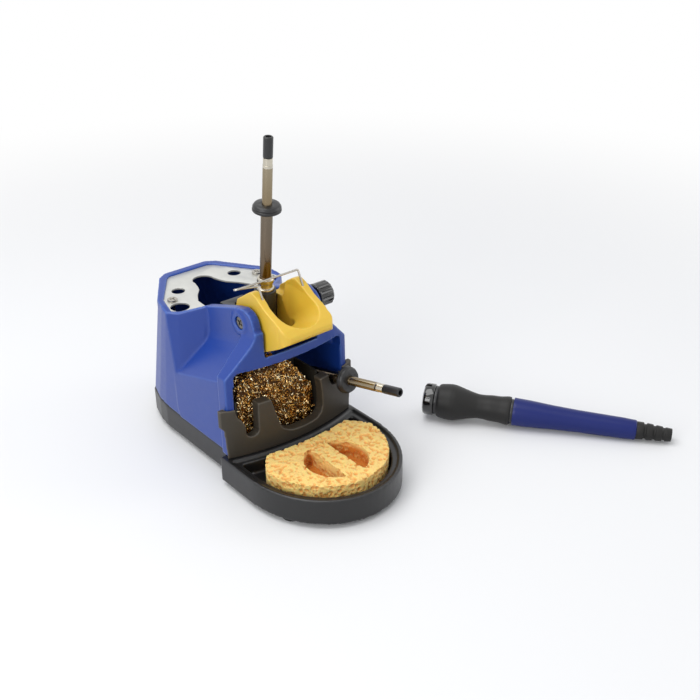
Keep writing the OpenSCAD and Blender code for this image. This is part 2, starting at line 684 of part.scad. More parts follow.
// the stored tip lies in the right slot, nose down into the housing
module stored() translate([33, -31, 48]) rotate([0, 0, stored_turn]) rotate([stored_tilt, 0, 0]) children();
module stored_tube() color("#a89a80") stored() tube_profile();
module stored_collar() color("#1b1b1b") stored() collar_profile();
module stored_band() color("#d8d2c0") stored() band_profile();
module stored_contact() color("#1b1b1a") stored() contact_profile();
module stored_point() color("#b7b4ad") stored() point_profile();

// ---- handpiece, in its own frame: z runs from the nose to the cord

// It lies on the bench on the grip's bulge and the handle's rear.
bulge_at = 17;
rear_at = handle_length - 8;
hand_dip = atan((grip_diameter / 2 - handle_rear / 2) / (rear_at - bulge_at));
hand_height = grip_diameter / 2 * cos(hand_dip) + bulge_at * sin(hand_dip);
module hand() translate([hand_x, -hand_y, hand_height]) rotate([0, 0, -hand_turn]) rotate([0,
    90 + hand_dip, 0]) children();

module nose_ring() color("#141415") hand() difference() {
  rotate_extrude() polygon([[bore_diameter / 2 + 1.6, 0], [nose_diameter / 2 - 2, 0],
      [nose_diameter / 2 - 0.6, 0.7],
    [nose_diameter / 2, 2], [nose_diameter / 2, 6.6], [nose_diameter / 2 - 0.5, 7],
        [bore_diameter / 2 + 1.6, 7]]);
  translate([-nose_diameter / 2 - 1, -1.2, -1]) cube([2.6, 2.4, 5.5]);
}
module grip_band() color("#1b1b1b") hand() rotate_extrude()
  polygon([[bore_diameter / 2, 1.2], [bore_diameter / 2 + 1.55, 1.2], [bore_diameter / 2 + 1.55, 7.05],
    [nose_diameter / 2 - 1.1, 7.05], [nose_diameter / 2 - 1.1, 8.8], [bore_diameter / 2, 8.8]]);
module hand_grip() color("#33322f") hand() rotate_extrude()
  polygon([[bore_diameter / 2 + 1, 8.8], [nose_diameter / 2 - 0.4, 8.8], [nose_diameter / 2 + 0.5, 10],
      [grip_diameter / 2 - 0.3, 14],
    [grip_diameter / 2, 17], [grip_diameter / 2 - 0.3, 20], [grip_diameter / 2 - 1.4, 24],
        [waist_diameter / 2 + 0.8, 30],
    [waist_diameter / 2, 34], [waist_diameter / 2, 38], [waist_diameter / 2 + 0.5, 42],
        [handle_diameter / 2 - 0.5, 48],
    [handle_diameter / 2 + 0.2, 52], [handle_diameter / 2 + 0.2, 54.5], [5, 54.5], [5, 40],
        [bore_diameter / 2 + 1, 30]]);
module handle_ring() color("#1a1a1a") hand() rotate_extrude()
  polygon([[5, 54.5], [handle_diameter / 2 - 1, 54.5], [handle_diameter / 2 - 1, 56.2], [5, 56.2]]);
module hand_handle() color("#2c5cab") hand() rotate_extrude()
  polygon([[5, 56.2], [handle_diameter / 2, 56.2], [handle_diameter / 2, 58],
      [handle_diameter / 2 - 0.3, 66], [handle_diameter / 2 - 1.2, 80],
    [handle_rear / 2 + 0.4, 96], [handle_rear / 2, handle_length - 8],
        [handle_rear / 2 - 0.4, handle_length - 0.6],
    [handle_rear / 2 - 1, handle_length], [3.6, handle_length], [3.6, 100], [5, 90]]);
module cord_relief() color("#1a1a1a") hand() difference() {
  rotate_extrude() polygon([[2.2, handle_length - 10], [3.55, handle_length - 10],
      [3.55, handle_length + 0.05],
    [5.4, handle_length + 0.05], [5.4, handle_length + 4], [4.4, handle_length + 4.6],
        [4.4, handle_length + 5.6], [5.2, handle_length + 6.2],
    [5.0, handle_length + 9.6], [4.1, handle_length + 10.2], [4.1, handle_length + 11.2],
        [4.8, handle_length + 11.8],
    [4.5, handle_length + 15.2], [3.8, handle_length + 15.8], [3.8, handle_length + 16.8],
        [4.3, handle_length + 17.4],
    [4.0, handle_length + 21], [2.2, handle_length + 21]]);
}
module contact_socket() color("#7d7a70") hand() difference() {
  rotate_extrude() polygon([[bore_diameter / 2 - 0.6, 9], [bore_diameter / 2 + 0.9, 9],
      [bore_diameter / 2 + 0.9, 29], [4.9, 40],
    [4.9, 60], [0, 60], [0, 44], [bore_diameter / 2 - 0.6, 44]]);
}

// ---- selection

base();
base_weight();
foot_front_left();
foot_front_right();
foot_rear_left();
foot_rear_right();
base_screw_left();
base_screw_right();
housing();
slot_plate();
wool_case();
brass_wool();
sponge();
tip_plate();
plate_screw_left();
plate_screw_right();
cavity_bracket();
receptacle();
bush_carrier();
bush();
wire_bail();
pivot_bolt();
pivot_screw();
clamp_knob();
knob_washer();
upright_tube();
upright_collar();
upright_band();
upright_contact();
upright_point();
stored_tube();
stored_collar();
stored_band();
stored_contact();
stored_point();
nose_ring();
hand_grip();
grip_band();
hand_handle();
handle_ring();
cord_relief();
contact_socket();
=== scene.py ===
# Soldering iron station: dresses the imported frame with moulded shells, sponge, wool and finishes.
import bpy
import json
import math
import numpy as np
from mathutils import Euler, Matrix, Vector, kdtree
from mathutils.bvhtree import BVHTree


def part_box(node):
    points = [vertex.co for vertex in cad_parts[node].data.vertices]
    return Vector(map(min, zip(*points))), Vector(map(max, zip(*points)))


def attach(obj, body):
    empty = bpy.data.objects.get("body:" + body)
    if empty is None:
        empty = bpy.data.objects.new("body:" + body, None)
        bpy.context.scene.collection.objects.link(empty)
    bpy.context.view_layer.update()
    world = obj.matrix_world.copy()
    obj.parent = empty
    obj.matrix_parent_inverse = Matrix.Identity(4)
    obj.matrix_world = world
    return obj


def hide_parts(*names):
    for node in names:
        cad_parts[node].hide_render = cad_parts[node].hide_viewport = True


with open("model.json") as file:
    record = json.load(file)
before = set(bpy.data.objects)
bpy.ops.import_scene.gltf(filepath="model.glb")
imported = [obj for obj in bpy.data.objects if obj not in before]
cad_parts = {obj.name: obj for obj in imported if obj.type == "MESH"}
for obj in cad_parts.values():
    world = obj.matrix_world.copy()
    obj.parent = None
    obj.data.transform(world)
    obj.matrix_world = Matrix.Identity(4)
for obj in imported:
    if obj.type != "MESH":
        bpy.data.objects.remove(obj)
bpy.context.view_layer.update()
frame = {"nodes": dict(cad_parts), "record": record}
mm = 0.001
nodes = frame["nodes"]
bpy.ops.object.select_all(action="DESELECT")


# helpers for materials

def paint(red, green, blue):
    # display values, 0 to 255, to the linear ones that a shader takes
    return tuple(((c / 255 + 0.055) / 1.055) ** 2.4 if c > 10 else c / 255 / 12.92 for c in (red, green, blue)) + (1,)


def feed(tree, socket, source):
    # a socket is linked, and anything else is set
    if isinstance(source, bpy.types.NodeSocket):
        tree.links.new(source, socket)
    else:
        socket.default_value = source


def addMath(tree, operation, first, second, kind="ShaderNodeMath"):
    node = tree.nodes.new(kind)
    node.operation = operation
    feed(tree, node.inputs[0], first)
    feed(tree, node.inputs[1], second)
    return node


def addRange(tree, source, low, high, toLow=0.0, toHigh=1.0, kind="LINEAR"):
    node = tree.nodes.new("ShaderNodeMapRange")
    node.interpolation_type = kind
    node.inputs["From Min"].default_value = low
    node.inputs["From Max"].default_value = high
    node.inputs["To Min"].default_value = toLow
    node.inputs["To Max"].default_value = toHigh
    tree.links.new(source, node.inputs["Value"])
    return node.outputs["Result"]


def addNoise(tree, place, scale, detail):
    node = tree.nodes.new("ShaderNodeTexNoise")
    node.inputs["Scale"].default_value = scale
    node.inputs["Detail"].default_value = detail
    tree.links.new(place, node.inputs["Vector"])
    return node.outputs["Fac"]


def readLayer(tree, name):
    node = tree.nodes.new("ShaderNodeAttribute")
    node.attribute_name = name
    return node.outputs["Fac"]


def mixColours(tree, factor, first, second):
    mix = tree.nodes.new("ShaderNodeMix")
    mix.data_type = "RGBA"
    feed(tree, mix.inputs["Factor"], factor)
    feed(tree, mix.inputs[6], first)
    feed(tree, mix.inputs[7], second)
    return mix.outputs[2]


def addRamp(tree, source, stops):
    # stops are (place, colour); a new ramp has its first and last already
    node = tree.nodes.new("ShaderNodeValToRGB")
    elements = node.color_ramp.elements
    elements[0].color = stops[0][1]
    elements[1].color = stops[-1][1]
    for place, colour in stops[1:-1]:
        elements.new(place).color = colour
    tree.links.new(source, node.inputs["Fac"])
    return node.outputs["Color"]


# camera and light

cameraSettings = {"place": (-318, -464.4, 368.6), "azimuth": 39, "elevation": 28.3, "roll": -0.87, "lens": 56.57,
                  "sensor": 36, "nearest": 10}


def makeCamera(s):
    turn = (Matrix.Rotation(math.radians(-s["azimuth"]), 4, "Z") @ Matrix.Rotation(math.radians(90 - s["elevation"]), 4, "X")
            @ Matrix.Rotation(math.radians(s["roll"]), 4, "Z"))
    bpy.ops.object.camera_add()
    camera = bpy.context.object
    camera.name = "benchCamera"
    camera.matrix_world = Matrix.Translation(Vector(s["place"]) * mm) @ turn
    camera.data.lens = s["lens"]
    camera.data.sensor_width = s["sensor"]
    camera.data.clip_start = s["nearest"] * mm
    bpy.context.scene.camera = camera


lampSettings = {
    "topSoftbox": {"place": (-0.25, 0.15, 1.1), "aim": (0, 0, 0.05), "size": 0.9, "power": 7.2},
    "leftSoftbox": {"place": (-1.0, -0.35, 0.55), "aim": (0, 0, 0.06), "size": 0.6, "power": 4.8},
    "rightSoftbox": {"place": (0.9, -0.5, 0.5), "aim": (0, 0, 0.06), "size": 0.6, "power": 1.6},
}


def makeLamps():
    for name, s in lampSettings.items():
        bpy.ops.object.light_add(type="AREA", location=s["place"])
        lamp = bpy.context.object
        lamp.name = name
        lamp.data.shape = "SQUARE"
        lamp.data.size = s["size"]
        lamp.data.energy = s["power"]
        lamp.rotation_euler = (Vector(s["aim"]) - Vector(s["place"])).to_track_quat("-Z", "Y").to_euler()


def raysThatSeeWhite(tree):
    # the camera, and what metal and gloss mirror, see the plain background
    rays = tree.nodes.new("ShaderNodeLightPath")
    total = rays.outputs["Is Camera Ray"]
    for name in ("Is Glossy Ray", "Is Transmission Ray"):
        total = addMath(tree, "MAXIMUM", total, rays.outputs[name]).outputs[0]
    return total


worldSettings = {"light": (0.95, 0.97, 1, 1), "strength": 0.62, "white": 1}


def makeWorld(s):
    world = bpy.data.worlds.new("studioTent")
    bpy.context.scene.world = world
    world.use_nodes = True
    tree = world.node_tree
    tree.nodes.clear()
    out = tree.nodes.new("ShaderNodeOutputWorld")
    soft = tree.nodes.new("ShaderNodeBackground")
    white = tree.nodes.new("ShaderNodeBackground")
    mix = tree.nodes.new("ShaderNodeMixShader")
    soft.inputs["Color"].default_value = s["light"]
    soft.inputs["Strength"].default_value = s["strength"]
    white.inputs["Color"].default_value = (1, 1, 1, 1)
    white.inputs["Strength"].default_value = s["white"]
    tree.links.new(raysThatSeeWhite(tree), mix.inputs[0])
    tree.links.new(soft.outputs[0], mix.inputs[1])
    tree.links.new(white.outputs[0], mix.inputs[2])
    tree.links.new(mix.outputs[0], out.inputs[0])


floorSettings = {"size": 6, "colour": (0.8, 0.8, 0.805, 1), "rough": 0.55, "specular": 0.25, "fadeFrom": 0.3, "fadeTo": 0.75,
                 "white": 1}


def makeFloor(s):
    bpy.ops.mesh.primitive_plane_add(size=s["size"], location=(0, 0, 0))
    floor = bpy.context.object
    floor.name = "benchFloor"
    mat = bpy.data.materials.new("paleBench")
    mat.use_nodes = True
    tree = mat.node_tree
    shader = tree.nodes["Principled BSDF"]
    shader.inputs["Base Color"].default_value = s["colour"]
    shader.inputs["Roughness"].default_value = s["rough"]
    shader.inputs["Specular IOR Level"].default_value = s["specular"]
    # far from the object the bench runs out into the white backdrop
    far = tree.nodes.new("ShaderNodeVectorMath")
    far.operation = "LENGTH"
    tree.links.new(tree.nodes.new("ShaderNodeTexCoord").outputs["Object"], far.inputs[0])
    fade = addRange(tree, far.outputs["Value"], s["fadeFrom"], s["fadeTo"], kind="SMOOTHSTEP")
    seen = addMath(tree, "MULTIPLY", fade, raysThatSeeWhite(tree))
    white = tree.nodes.new("ShaderNodeEmission")
    white.inputs["Strength"].default_value = s["white"]
    mix = tree.nodes.new("ShaderNodeMixShader")
    tree.links.new(seen.outputs[0], mix.inputs[0])
    tree.links.new(shader.outputs[0], mix.inputs[1])
    tree.links.new(white.outputs[0], mix.inputs[2])
    tree.links.new(mix.outputs[0], tree.nodes["Material Output"].inputs["Surface"])
    floor.data.materials.append(mat)


makeCamera(cameraSettings)
makeLamps()
makeWorld(worldSettings)
makeFloor(floorSettings)
bpy.context.scene.view_settings.view_transform = "Standard"
print("stage: camera, lamps and bench are set")


# finishes

# the pointiness range over which the painted edge highlight comes in
edgeHighlightSettings = {"flat": 0.51, "sharp": 0.6}  # how far a surface bends outward, 0.5 being flat


def makeFinish(name, s):
    # one moulded or plated finish: blotched colour, uneven gloss and a fine grain in the surface, and where asked a
    # painted highlight on convex edges
    mat = bpy.data.materials.new(name)
    mat.use_nodes = True
    tree = mat.node_tree
    shader = tree.nodes["Principled BSDF"]
    shader.inputs["Metallic"].default_value = s.get("metal", 0)
    shader.inputs["Specular IOR Level"].default_value = s.get("specular", 0.5)
    shader.inputs["Coat Weight"].default_value = s.get("coat", 0)
    shader.inputs["Coat Roughness"].default_value = s.get("coatRough", 0.1)
    shader.inputs["Sheen Weight"].default_value = s.get("sheen", 0)
    shader.inputs["Subsurface Weight"].default_value = s.get("flesh", 0)
    shader.inputs["Subsurface Scale"].default_value = s.get("fleshDepth", 2) * mm
    place = tree.nodes.new("ShaderNodeTexCoord").outputs["Object"]
    spread = s.get("blotch", 0.05)
    darker = tuple(c * (1 - spread) for c in s["colour"][:3]) + (1,)
    paler = tuple(min(c * (1 + spread), 1) for c in s["colour"][:3]) + (1,)
    surface = mixColours(tree, addNoise(tree, place, s.get("blotchScale", 60), 4), darker, paler)
    if "edge" in s:
        # painted highlight: convex edges are mixed towards a paler colour, for the light that their moulded rounding
        # catches
        bend = tree.nodes.new("ShaderNodeNewGeometry").outputs["Pointiness"]
        paintedEdgeHighlight = addRange(tree, bend, edgeHighlightSettings["flat"], edgeHighlightSettings["sharp"], 0, s["edge"])
        surface = mixColours(tree, paintedEdgeHighlight, surface, s["edgeHighlightColour"])
    tree.links.new(surface, shader.inputs["Base Color"])
    uneven = s.get("roughSpread", 0.05)
    gloss = addNoise(tree, place, s.get("glossScale", 250), 5)
    tree.links.new(addRange(tree, gloss, 0, 1, s["rough"] - uneven, s["rough"] + uneven), shader.inputs["Roughness"])
    bump = tree.nodes.new("ShaderNodeBump")
    bump.inputs["Strength"].default_value = s.get("grain", 0.1)
    bump.inputs["Distance"].default_value = s.get("grainDepth", 0.1) * mm
    tree.links.new(addNoise(tree, place, s.get("grainScale", 4000), 2), bump.inputs["Height"])
    tree.links.new(bump.outputs["Normal"], shader.inputs["Normal"])
    return mat


def surfaceOf(mat):
    # what feeds a finish's colour, for a finish that is built over another
    tree = mat.node_tree
    socket = tree.nodes["Principled BSDF"].inputs["Base Color"]
    return tree, socket, socket.links[0].from_socket


# the edge values with their paler colours are a painted highlight on convex edges
finishSettings = {
    "blueShell": {"colour": paint(22, 58, 140), "rough": 0.36, "specular": 0.45, "grain": 0.12, "grainScale": 5200,
                  "blotch": 0.03, "coat": 0.08, "coatRough": 0.2, "edge": 0.6, "edgeHighlightColour": paint(104, 146, 222)},
    # painted shade: the handle's blue is a darker copy of the shell's blue plastic, for the shade that fell over the
    # handle
    "shadedHandleBlue": {"colour": paint(15, 30, 98), "rough": 0.34, "specular": 0.3, "grain": 0.08, "blotch": 0.03},
    "blackShell": {"colour": paint(21, 21, 22), "rough": 0.34, "grain": 0.14, "grainScale": 5200, "blotch": 0.08,
                   "edge": 0.35, "edgeHighlightColour": paint(78, 78, 80)},
    "plateBlack": {"colour": paint(54, 49, 41), "rough": 0.5, "grain": 0.2, "grainScale": 4200, "blotch": 0.12,
                   "edge": 0.6, "edgeHighlightColour": paint(118, 108, 94)},
    "softBlack": {"colour": paint(20, 19, 18), "rough": 0.5, "specular": 0.32, "grain": 0.22, "grainScale": 4200,
                  "blotch": 0.1, "sheen": 0.05},
    "glossBlack": {"colour": paint(5, 5, 6), "rough": 0.08, "roughSpread": 0.02, "grain": 0.02, "coat": 0.8},
    "footRubber": {"colour": paint(24, 24, 24), "rough": 0.8, "grain": 0.3},
    "yellowShell": {"colour": paint(216, 178, 58), "rough": 0.38, "grain": 0.12, "grainScale": 5200, "blotch": 0.03,
                    "flesh": 0.12, "edge": 0.4, "edgeHighlightColour": paint(246, 224, 138)},
    "platedSteel": {"colour": paint(182, 178, 170), "rough": 0.26, "metal": 1, "grain": 0.06, "blotch": 0.06},
    "nickelPlate": {"colour": paint(196, 190, 176), "rough": 0.2, "metal": 1, "grain": 0.03, "blotch": 0.05},
    "screwSteel": {"colour": paint(120, 116, 108), "rough": 0.3, "metal": 1, "grain": 0.08, "blotch": 0.15},
    "darkCase": {"colour": paint(34, 31, 26), "rough": 0.5, "metal": 0.4, "grain": 0.1, "blotch": 0.2},
    "ironPoint": {"colour": paint(150, 146, 140), "rough": 0.4, "metal": 1, "grain": 0.2, "blotch": 0.3, "blotchScale": 400},
    "galvanised": {"colour": paint(202, 202, 197), "rough": 0.42, "metal": 0.55, "grain": 0.08, "blotch": 0.07,
                   "blotchScale": 220},
}
finishes = {name: makeFinish(name, s) for name, s in finishSettings.items()}


heatSettings = {
    "cool": 0.03, "hot": -0.075, "blend": 0.9,
    "steel": {"colour": paint(140, 130, 116), "rough": 0.2, "metal": 1, "grain": 0.05, "blotch": 0.12, "blotchScale": 180},
    "tints": ((0, paint(158, 148, 128)), (0.26, paint(134, 118, 92)), (0.34, paint(112, 102, 90)),
              (0.62, paint(104, 88, 70)), (0.8, paint(96, 72, 46)), (1, paint(70, 48, 30))),
}
tips = {"upright": ("upright_collar", "upright_tip_lift"), "stored": ("stored_collar", "stored_tip_pull")}
axisOf = {j["name"]: Vector(j["axis"]) for j in frame["record"]["behaviour"]["joints"]}


def makeHeatedSteel(name, collar, joint, s):
    # a tip's tube is grey at its contact end and browns towards its hot end
    mat = makeFinish(name, s["steel"])
    tree, socket, surface = surfaceOf(mat)
    low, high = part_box(collar)
    place = tree.nodes["Texture Coordinate"].outputs["Object"]
    along = addMath(tree, "SUBTRACT", place, (Vector(low) + Vector(high)) / 2, "ShaderNodeVectorMath")
    reach = addMath(tree, "DOT_PRODUCT", along.outputs["Vector"], axisOf[joint], "ShaderNodeVectorMath")
    heat = addRange(tree, reach.outputs["Value"], s["cool"], s["hot"])
    tree.links.new(mixColours(tree, s["blend"], surface, addRamp(tree, heat, s["tints"])), socket)
    return mat


for tip, (collar, joint) in tips.items():
    finishes[tip + "Heated"] = makeHeatedSteel(tip + "Heated", collar, joint, heatSettings)
print("stage: finishes are mixed")


# pieces over CAD nodes

def only(piece):
    bpy.ops.object.select_all(action="DESELECT")
    piece.select_set(True)
    bpy.context.view_layer.objects.active = piece


def useModifier(piece, kind, **values):
    only(piece)
    modifier = piece.modifiers.new(kind.title(), kind)
    for key, value in values.items():
        setattr(modifier, key, value)
    bpy.ops.object.modifier_apply(modifier=modifier.name)


def editAll(piece, *steps):
    # each step is an operator and its values, run on the whole of a piece in edit mode
    only(piece)
    bpy.ops.object.mode_set(mode="EDIT")
    bpy.ops.mesh.select_all(action="SELECT")
    for operator, values in steps:
        operator(**values)
    bpy.ops.object.mode_set(mode="OBJECT")


def joinTo(piece, extra):
    only(piece)
    extra.select_set(True)
    bpy.ops.object.join()


def addPiece(name, mesh):
    piece = bpy.data.objects.new(name, mesh)
    bpy.context.scene.collection.objects.link(piece)
    return piece


mergeGap = 0.01


def copyOf(node, name):
    # a merged copy of a node's mesh, as a new piece
    piece = addPiece(name, nodes[node].data.copy())
    editAll(piece, (bpy.ops.mesh.customdata_custom_splitnormals_clear, {}),
            (bpy.ops.mesh.remove_doubles, {"threshold": mergeGap * mm}))
    return piece


def seat(piece, body, finish, node):
    piece.data.materials.clear()
    piece.data.materials.append(finish)
    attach(piece, body)
    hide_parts(node)


cutterSettings = {"sides": 96, "height": 60, "middle": 20, "barHeight": 80}


def cutter(radius, x, y, s):
    bpy.ops.mesh.primitive_cylinder_add(vertices=s["sides"], radius=radius * mm, depth=s["height"] * mm,
                                        location=(x * mm, y * mm, s["middle"] * mm))
    piece = bpy.context.object
    bpy.ops.object.transform_apply(location=True)
    return piece


def cutWith(piece, tool, way):
    useModifier(piece, "BOOLEAN", operation=way, object=tool, solver="EXACT")
    bpy.data.objects.remove(tool)


def trimSponge(piece, s):
    # pressed to the tray's sides, rounded at its rear corners, with two D-shaped wells beside the middle bar
    low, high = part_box("sponge")
    editAll(piece, (bpy.ops.transform.resize, {"value": s["press"], "center_override": (0, high[1], low[2])}),
            (bpy.ops.transform.translate, {"value": (s["shift"] * mm, 0, 0)}))
    centreX, centreY = s["wellCentre"]
    cutWith(piece, cutter(s["corner"], *s["cornerCentre"], cutterSettings), "INTERSECT")
    wells = cutter(s["wellRadius"], centreX, centreY, cutterSettings)
    bpy.ops.mesh.primitive_cube_add(size=1, location=(0, centreY * mm, cutterSettings["middle"] * mm))
    bar = bpy.context.object
    bar.scale = (2 * s["barHalf"] * mm, cutterSettings["height"] * mm, cutterSettings["barHeight"] * mm)
    bpy.ops.object.transform_apply(location=True, scale=True)
    cutWith(wells, bar, "DIFFERENCE")
    cutWith(piece, wells, "DIFFERENCE")
    # the wells' floor, which the remesh joins to their walls
    thick = s["wellFloor"] * mm
    bpy.ops.mesh.primitive_cylinder_add(vertices=cutterSettings["sides"], radius=s["floorRadius"] * mm, depth=thick,
                                        location=(centreX * mm, centreY * mm, low[2] + thick / 2))
    floor = bpy.context.object
    bpy.ops.object.transform_apply(location=True)
    joinTo(piece, floor)


rimSettings = {"line": ((41.5, 46), (40.5, 52), (37.6, 62), (20.6, 88.2), (14.4, 92.2)),
               "top": 88.9, "end": 87.9, "foot": 84, "across": 3.9, "back": 5.0, "backFrom": 85}


def ringFaces(count):
    # the walls and both ends of a run of four-cornered rings
    faces = []
    for i in range(0, (count - 1) * 4, 4):
        faces += [(i + k, i + 4 + k, i + 4 + (k + 1) % 4, i + (k + 1) % 4) for k in range(4)]
    last = (count - 1) * 4
    return [(0, 1, 2, 3), (last + 3, last + 2, last + 1, last)] + faces


def addRim(piece, s):
    # the column's rolled rim, fuller than the wall below it, from side to side round the back
    line = [Vector(p) for p in s["line"]]
    line += [Vector((-x, y)) for x, y in reversed(line)]
    points = []
    for i, spot in enumerate(line):
        along = (line[min(i + 1, len(line) - 1)] - line[max(i - 1, 0)]).normalized()
        inner = spot + Vector((-along.y, along.x)) * (s["back"] if spot.y > s["backFrom"] else s["across"])
        top = s["end"] if i in (0, len(line) - 1) else s["top"]
        points += [(*spot, s["foot"]), (*inner, s["foot"]), (*inner, top), (*spot, top)]
    mesh = bpy.data.meshes.new("rimRoll")
    mesh.from_pydata([Vector(p) * mm for p in points], [], ringFaces(len(line)))
    roll = addPiece("rimRoll", mesh)
    editAll(roll, (bpy.ops.mesh.normals_make_consistent, {"inside": False}))
    joinTo(piece, roll)


def shaded(piece, *angle):
    # smooth all over, or only up to an angle
    only(piece)
    if angle:
        bpy.ops.object.shade_smooth_by_angle(angle=angle[0])
    else:
        bpy.ops.object.shade_smooth()
    return piece


def moulded(name, node, s):
    # a moulded part: the solid's form with every edge eased
    piece = copyOf(node, name)
    if "rim" in s:
        addRim(piece, s["rim"])
    if "cuts" in s:
        trimSponge(piece, s["cuts"])
    useModifier(piece, "REMESH", mode="VOXEL", voxel_size=s["voxel"] * mm)
    useModifier(piece, "SMOOTH", factor=0.5, iterations=s["passes"])
    if s.get("keep", 1) < 1:
        useModifier(piece, "DECIMATE", ratio=s["keep"])
    return shaded(piece)


machiningSettings = {"flat": math.radians(0.6), "sharp": math.radians(40), "smooth": math.radians(32), "segments": 2}


def machined(name, node, edge, s):
    # a turned or cut part: crisp, with a small break on its sharp edges
    piece = copyOf(node, name)
    editAll(piece, (bpy.ops.mesh.dissolve_limited, {"angle_limit": s["flat"]}))
    useModifier(piece, "BEVEL", width=edge * mm, segments=s["segments"], limit_method="ANGLE", angle_limit=s["sharp"],
                use_clamp_overlap=True, harden_normals=False)
    return shaded(piece, s["smooth"])


mouldedParts = {
    "housing": {"voxel": 0.7, "passes": 6, "keep": 0.5, "rim": rimSettings, "body": "stand", "slot": "blue_plastic",
                "finish": "blueShell"},
    "base": {"voxel": 0.8, "passes": 4, "keep": 0.6, "body": "stand", "slot": "black_plastic", "finish": "blackShell"},
    "slot_plate": {"voxel": 0.45, "passes": 6, "body": "stand", "slot": "soft_black", "finish": "plateBlack"},
    "receptacle": {"voxel": 0.4, "passes": 10, "body": "iron_rest", "slot": "yellow_plastic", "finish": "yellowShell"},
    "hand_grip": {"voxel": 0.45, "passes": 14, "body": "handpiece", "slot": "soft_black", "finish": "softBlack"},
}
machinedParts = {
    "tip_plate": ("stand", "galvanised", "galvanised", 0.15),
    "plate_screw_left": ("stand", "steel", "platedSteel", 0.2),
    "plate_screw_right": ("stand", "steel", "platedSteel", 0.2),
    "wool_case": ("stand", "dark_steel", "darkCase", 0.2),
    "cavity_bracket": ("stand", "black_plastic", "blackShell", 0.3),
    "pivot_screw": ("stand", "steel", "screwSteel", 0.2),
    "bush_carrier": ("iron_rest", "black_plastic", "blackShell", 0.3),
    "bush": ("iron_rest", "nickel", "nickelPlate", 0.12),
    "wire_bail": ("iron_rest", "steel", "platedSteel", 0.02),
    "clamp_knob": ("knob", "gloss_black", "glossBlack", 0.25),
    "knob_washer": ("knob", "steel", "platedSteel", 0.1),
    "upright_tube": ("upright_tip", "tip_steel", "uprightHeated", 0.1),
    "upright_collar": ("upright_tip", "black_plastic", "blackShell", 0.15),
    "upright_band": ("upright_tip", "nickel", "nickelPlate", 0.08),
    "upright_contact": ("upright_tip", "black_plastic", "blackShell", 0.12),
    "stored_tube": ("stored_tip", "tip_steel", "storedHeated", 0.1),
    "stored_collar": ("stored_tip", "black_plastic", "blackShell", 0.15),
    "stored_band": ("stored_tip", "nickel", "nickelPlate", 0.08),
    "stored_contact": ("stored_tip", "black_plastic", "blackShell", 0.12),
    "nose_ring": ("nose", "gloss_black", "glossBlack", 0.3),
    "grip_band": ("handpiece", "black_plastic", "blackShell", 0.1),
    "hand_handle": ("handpiece", "blue_plastic", "shadedHandleBlue", 0.2),
    "handle_ring": ("handpiece", "black_plastic", "blackShell", 0.1),
    "cord_relief": ("handpiece", "soft_black", "softBlack", 0.2),
}
for node, s in mouldedParts.items():
    seat(moulded("dressed_" + node, node, s), s["body"], finishes[s["finish"]], node)
for node, (body, slot, finish, edge) in machinedParts.items():
    seat(machined("dressed_" + node, node, edge, machiningSettings), body, finishes[finish], node)

# what is hidden or small keeps its solid and gets a finish
plainParts = {"base_weight": "platedSteel", "base_screw_left": "platedSteel", "base_screw_right": "platedSteel",
              "foot_front_left": "footRubber", "foot_front_right": "footRubber", "foot_rear_left": "footRubber",
              "foot_rear_right": "footRubber", "pivot_bolt": "platedSteel", "upright_point": "ironPoint",
              "stored_point": "ironPoint", "contact_socket": "nickelPlate"}
for node, finish in plainParts.items():
    for slotIndex in range(len(nodes[node].material_slots)):
        nodes[node].material_slots[slotIndex].material = finishes[finish]
print("stage: shells and metal parts are dressed")


# sponge: a wet cellulose block with open pores

spongeSettings = {
    "voxel": 0.42, "passes": 5, "seed": 7,
    "press": (1.03, 0.95, 0.9), "shift": 0.8, "corner": 42.6, "cornerCentre": (1.4, -60.4),
    "wellCentre": (0.4, -57.6), "wellRadius": 18.3, "wellFloor": 2.6, "floorRadius": 19.3, "barHalf": 6.2,
    "pores": 5200, "smallest": 0.28, "largest": 1.5, "depth": 0.8, "longest": 1.4, "roundest": 0.6, "fewLarge": 3,
    "around": 1.5, "steep": 3, "shrink": 0.15, "swell": 0.12, "waveX": 410, "waveY": 370, "waveStart": 1,
    "poreTint": 0.62, "poreDeep": 1.2, "wellTint": 0.95, "tintReach": 18.7, "tintBar": 5.6, "tintTop": 1.2, "tintFade": 3,
}


